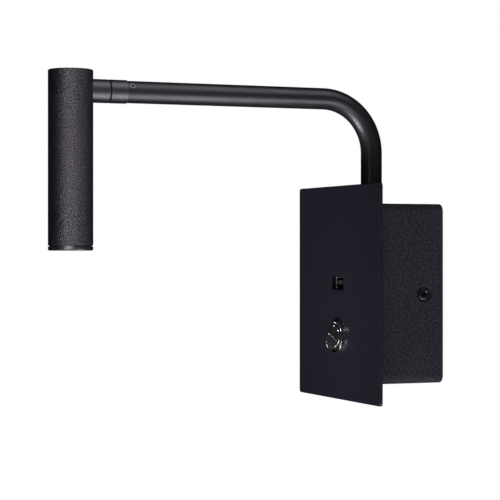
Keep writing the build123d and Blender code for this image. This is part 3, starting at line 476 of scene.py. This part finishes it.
def add_port_shell():
    """Shell of the port, of sheet with a flared lip, and the springs inside it."""
    low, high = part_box("usb_shell")
    width, _, height = high - low
    middle = middle_of("usb_shell")
    lip = Vector((middle.x, low.y, middle.z))
    section = shell_section()
    form = bmesh.new()
    join_rings(form, [
        [lip + point + outward * offset + BACK * behind for offset, behind in section]
        for point, outward in round_rectangle(width - SHEET, height - SHEET, SHELL_CORNER)
    ], closed=True)
    for side, rise in ((-1, 1), (1, 1), (-1, -1), (1, -1)):
        place = lip + Vector((side * SPRING_PLACE, 0, 0))
        add_spring(form, place, Vector((0, 0, rise)), height / 2 - SHEET)
    for side in (-1, 1):
        add_spring(form, lip, Vector((side, 0, 0)), width / 2 - SHEET)
    add_piece("port_shell", form, "usb_steel", "base", "usb_shell")


# ---- Rocker ------------------------------------------------------------------
SWITCH_TURN = math.radians(18)      # of the switch in its hole
ROCKER_TILT = math.radians(10)      # of the rocker at rest, and of each half of its face
ROCKER_RADIUS = 5.9 * MM
ROCKER_COVER = 2.2 * MM     # from the middle of its face to the pin
ROCKER_BACK = 2.2 * MM      # from the pin to its back
ROCKER_ROUND = 0.5 * MM
FACE_RINGS = [radius * MM for radius in (0.3, 1.0, 2.0, 3.0, 4.0, 4.8)]
FOLD_ROUND = 0.1 * MM
FOLD_TURN = 2               # degrees from the fold to the points beside it


def face_turns():
    """Degrees round the face of the rocker, closer together beside the fold."""
    beside = [side + turn for side in (0, 180) for turn in (FOLD_TURN, -FOLD_TURN)]
    return sorted(CIRCLE + [degrees % 360 for degrees in beside])


def add_rocker():
    """Rocker with a rounded rim and a soft fold across its face."""
    pivot = middle_of("switch_pin")
    axle = Vector((math.cos(SWITCH_TURN), 0, -math.sin(SWITCH_TURN)))
    upward = Vector((math.sin(SWITCH_TURN), 0, math.cos(SWITCH_TURN)))
    front = upward * math.sin(ROCKER_TILT) - BACK * math.cos(ROCKER_TILT)
    across = front.cross(axle)
    rim_start = ROCKER_RADIUS - ROCKER_ROUND
    levels = [(radius, 0) for radius in FACE_RINGS]
    levels += [(rim_start + out, down) for out, down in rim_arc(ROCKER_ROUND, 90)]
    turns = [math.radians(degrees) for degrees in face_turns()]
    rings = []
    for radius, drop in levels:
        ring = []
        for turn in turns:
            along = radius * math.cos(turn)
            off = radius * math.sin(turn)
            rise = ROCKER_COVER + math.hypot(off, FOLD_ROUND) * math.tan(ROCKER_TILT) - drop
            ring.append(pivot + axle * along + across * off + front * rise)
        rings.append(ring)
    rings.append([
        point - front * (front.dot(point - pivot) + ROCKER_BACK) for point in rings[-1]
    ])
    form = bmesh.new()
    join_solid(form, rings)
    add_piece("rocker_cap", form, "switch_gloss", "rocker", "rocker")


# ---- Side screws -------------------------------------------------------------
SCREW_RADIUS = 1.95 * MM
SCREW_LENGTH = 10 * MM
SCREW_ROUND = 0.4 * MM      # of the rim of its head
SCREW_CHAMFER = 0.4 * MM    # of its tip
SCREW_RIM = 135             # degrees from the flat face round to the cone
KEY_WIDTH = 2.5 * MM        # across the flats of the socket
KEY_DEPTH = 1.5 * MM
KEY_MOUTH = 1.6 * MM        # radius of the eased mouth of the socket


def key_radius(turn):
    """From the middle of the six-sided socket to its wall, in the direction of a turn."""
    return KEY_WIDTH / 2 / math.cos(turn % math.radians(60) - math.radians(30))


def screw_rings(head_radius):
    """Rings of points from the bottom of the socket to the tip of the screw, each point
    as a radius, a turn and the depth below the face."""
    rim_start = head_radius - SCREW_ROUND * (1 + math.sqrt(2))
    profile = [(KEY_MOUTH, 0)]
    profile += [(rim_start + out, down) for out, down in rim_arc(SCREW_ROUND, SCREW_RIM)]
    profile += [
        (SCREW_RADIUS, head_radius - SCREW_RADIUS),
        (SCREW_RADIUS, SCREW_LENGTH - SCREW_CHAMFER),
        (SCREW_RADIUS - SCREW_CHAMFER, SCREW_LENGTH),
    ]
    turns = [math.radians(degrees) for degrees in CIRCLE]
    socket = [
        [(key_radius(turn), turn, depth) for turn in turns]
        for depth in (KEY_DEPTH, KEY_MOUTH - KEY_WIDTH / 2)
    ]
    return socket + [[(radius, turn, depth) for turn in turns] for radius, depth in profile]


def add_side_screws():
    """Countersunk socket screws, one on each side, with a rounded rim on the head."""
    low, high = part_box("side_screws")
    middle = middle_of("side_screws")
    rings = screw_rings((high.y - low.y) / 2)
    form = bmesh.new()
    for face, inward in ((low.x, 1), (high.x, -1)):
        join_solid(form, [[
            Vector((face + inward * depth, middle.y + radius * math.cos(turn),
                    middle.z + radius * math.sin(turn)))
            for radius, turn, depth in ring
        ] for ring in rings])
    add_piece("socket_screws", form, "black_screw", "base", "side_screws")


# ---- Floor and background ----------------------------------------------------
FLOOR_DROP = 300 * MM       # below the lamp
FLOOR_SIZE = 12.0
FLOOR_GREYS = (0.85, 0.87)
FLOOR_PATCH = 0.4           # size of its uneven patches
SHADOW_REACH = 0.6          # the floor is plain to here and then fades into the background
FADE_REACH = 1.5
FLOOR_GLOW = 0.6            # of white in the floor near the lamp, where it is seen
AMBIENT = 0.35              # strength of the background as a light
WHITE = (1, 1, 1, 1)
floor_level = cad_box[0].z - FLOOR_DROP


def seen_or_mirrored(tree):
    """1 for a ray from the camera, a mirrored one or one through glass."""
    rays = tree.nodes.new("ShaderNodeLightPath")
    seen = rays.outputs["Is Camera Ray"]
    for kind in ("Is Glossy Ray", "Is Transmission Ray"):
        either = tree.nodes.new("ShaderNodeMath")
        either.operation = "MAXIMUM"
        tree.links.new(seen, either.inputs[0])
        tree.links.new(rays.outputs[kind], either.inputs[1])
        seen = either.outputs[0]
    return seen


def floor_paint():
    """Pale paint that glows where it is seen, and that is plain white further out."""
    dark, light = ((grey,) * 3 for grey in FLOOR_GREYS)
    paint = Paint("floor", light, 0.9, specular=0.2)
    paint.blend_colors(paint.noise(size=FLOOR_PATCH), dark, light)
    distance = paint.node("ShaderNodeVectorMath", operation="LENGTH")
    paint.link(paint.stretched((1, 1, 0)), distance.inputs[0])
    fade = paint.spread(distance.outputs["Value"], SHADOW_REACH, FADE_REACH, FLOOR_GLOW, 1)
    share = paint.node("ShaderNodeMath", operation="MULTIPLY")
    paint.link(fade, share.inputs[0])
    paint.link(seen_or_mirrored(paint.tree), share.inputs[1])
    white = paint.node("ShaderNodeEmission")
    choice = paint.node("ShaderNodeMixShader")
    paint.link(share.outputs[0], choice.inputs["Fac"])
    paint.link(paint.shader.outputs[0], choice.inputs[1])
    paint.link(white.outputs[0], choice.inputs[2])
    paint.link(choice.outputs[0], paint.tree.nodes["Material Output"].inputs["Surface"])
    return paint.material


def add_floor():
    """Pale floor that keeps the shadow of the lamp and turns white further out."""
    mesh = bpy.data.meshes.new("floor")
    half = FLOOR_SIZE / 2
    corners = [(-half, -half), (half, -half), (half, half), (-half, half)]
    mesh.from_pydata([(x, y, floor_level) for x, y in corners], [], [(0, 1, 2, 3)])
    mesh.materials.append(floor_paint())
    floor = bpy.data.objects.new("floor", mesh)
    scene.collection.objects.link(floor)


def add_world():
    """White where it is seen or mirrored, and a plain level of light elsewhere."""
    world = bpy.data.worlds.new("studio")
    world.use_nodes = True
    tree = world.node_tree
    tree.nodes.clear()
    ambient = tree.nodes.new("ShaderNodeBackground")
    ambient.inputs["Color"].default_value = WHITE
    ambient.inputs["Strength"].default_value = AMBIENT
    white = tree.nodes.new("ShaderNodeBackground")
    white.inputs["Color"].default_value = WHITE
    choice = tree.nodes.new("ShaderNodeMixShader")
    tree.links.new(seen_or_mirrored(tree), choice.inputs["Fac"])
    tree.links.new(ambient.outputs[0], choice.inputs[1])
    tree.links.new(white.outputs[0], choice.inputs[2])
    output = tree.nodes.new("ShaderNodeOutputWorld")
    tree.links.new(choice.outputs[0], output.inputs["Surface"])
    scene.world = world


# ---- Tent and lights ---------------------------------------------------------
TENT_RADIUS = 1.5
TENT_SEGMENTS, TENT_RINGS = 60, 30
TENT_OPENING = math.radians(5)      # round the line of sight, behind the lamp
TENT_GAP = 2 * MM           # between its hem and the floor
CLOTH_GREYS = (0.0015, 0.0025)
CLOTH_PATCH = 20 * MM
head_middle = middle_of("head_tube")
arm_tip = middle_of("swivel_socket")
bend_corner = Vector((arm_tip.x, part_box("arm_tube")[1].y, arm_tip.z))
plate_face = middle_of("front_plate")
switch_face = middle_of("rocker")
# Name and target, the way there from the target as a heading and an elevation in degrees,
# distance, width and height, radiance, and the angle of the beam in degrees.
SOFTBOXES = [
    ("key", head_middle, (-26, -5), 0.20, (0.12, 0.40), 0.90, 46),
    ("above", arm_tip, (39, 55), 0.35, (0.28, 0.40), 0.72, 90),
    ("below", arm_tip, (34, -47), 0.32, (0.20, 0.35), 1.20, 70),
    ("under", bend_corner, (-44, -53), 0.35, (0.20, 0.20), 0.60, 46),
    ("front", plate_face, (-75, -45), 0.30, (0.15, 0.15), 1.75, 40),
]
SWITCH_GLINTS = [
    ("glint_above", switch_face, (-30, 58), 0.30, (0.04, 0.09), 3.8, 20),
    ("glint_beside", switch_face, (-28, -28), 0.30, (0.03, 0.14), 2.6, 20),
    ("glint_fold", switch_face, (-153, 8), 0.30, (0.03, 0.03), 0.5, 20),
]


def direction(heading, elevation):
    """Unit vector. The heading is in degrees from +X towards +Y."""
    turn, rise = math.radians(heading), math.radians(elevation)
    level = math.cos(rise)
    return Vector((level * math.cos(turn), level * math.sin(turn), math.sin(rise)))


def add_tent():
    """Dark cloth round the set, open behind the lamp. Only mirrored rays meet it."""
    opening = direction(math.degrees(VIEW_AZIMUTH) + 90, 0)
    form = bmesh.new()
    bmesh.ops.create_uvsphere(
        form, u_segments=TENT_SEGMENTS, v_segments=TENT_RINGS, radius=TENT_RADIUS
    )
    open_faces = [
        face for face in form.faces
        if face.calc_center_median().angle(opening) < TENT_OPENING
    ]
    bmesh.ops.delete(form, geom=open_faces, context="FACES")
    for vertex in form.verts:
        vertex.co.z = max(vertex.co.z, floor_level + TENT_GAP)
    mesh = bpy.data.meshes.new("tent")
    form.to_mesh(mesh)
    form.free()
    dark, light = ((grey,) * 3 for grey in CLOTH_GREYS)
    cloth = Paint("black_cloth", dark, 1.0, specular=0.0)
    cloth.blend_colors(cloth.noise(size=CLOTH_PATCH), dark, light)
    mesh.materials.append(cloth.material)
    tent = bpy.data.objects.new("tent", mesh)
    tent.location.y = head_middle.y / 2
    scene.collection.objects.link(tent)
    tent.visible_camera = False
    tent.visible_diffuse = False
    tent.visible_shadow = False
    tent.visible_transmission = False


def add_softbox(name, target, way, distance, size, radiance, beam):
    """Rectangular area light that faces a point. A narrow beam stands for a grid on it."""
    light = bpy.data.lights.new(name, "AREA")
    light.shape = "RECTANGLE"
    light.size, light.size_y = size
    light.energy = radiance * math.pi * size[0] * size[1]
    light.spread = math.radians(beam)
    softbox = bpy.data.objects.new(name, light)
    away = direction(*way)
    turn = away.to_track_quat("Z", "Y").to_matrix().to_4x4()
    softbox.matrix_world = Matrix.Translation(target + away * distance) @ turn
    softbox.visible_camera = False
    scene.collection.objects.link(softbox)
    return softbox


def light_only(softbox, pieces):
    """Lets a softbox light these pieces and nothing else."""
    reached = bpy.data.collections.new(softbox.name + "_reach")
    for piece in pieces:
        reached.objects.link(piece)
    softbox.light_linking.receiver_collection = reached


def add_lights():
    """Softboxes round the lamp, and small ones for the glints of its switch."""
    for softbox in SOFTBOXES:
        add_softbox(*softbox)
    switch = [bpy.data.objects["rocker_cap"], nodes["switch_body"]]
    for softbox in SWITCH_GLINTS:
        light_only(add_softbox(*softbox), switch)


add_camera()
materials = make_materials()
dress_nodes(materials)
add_port_shell()
add_rocker()
add_side_screws()
add_floor()
add_world()
add_tent()
add_lights()
scene.view_settings.view_transform = "Standard"
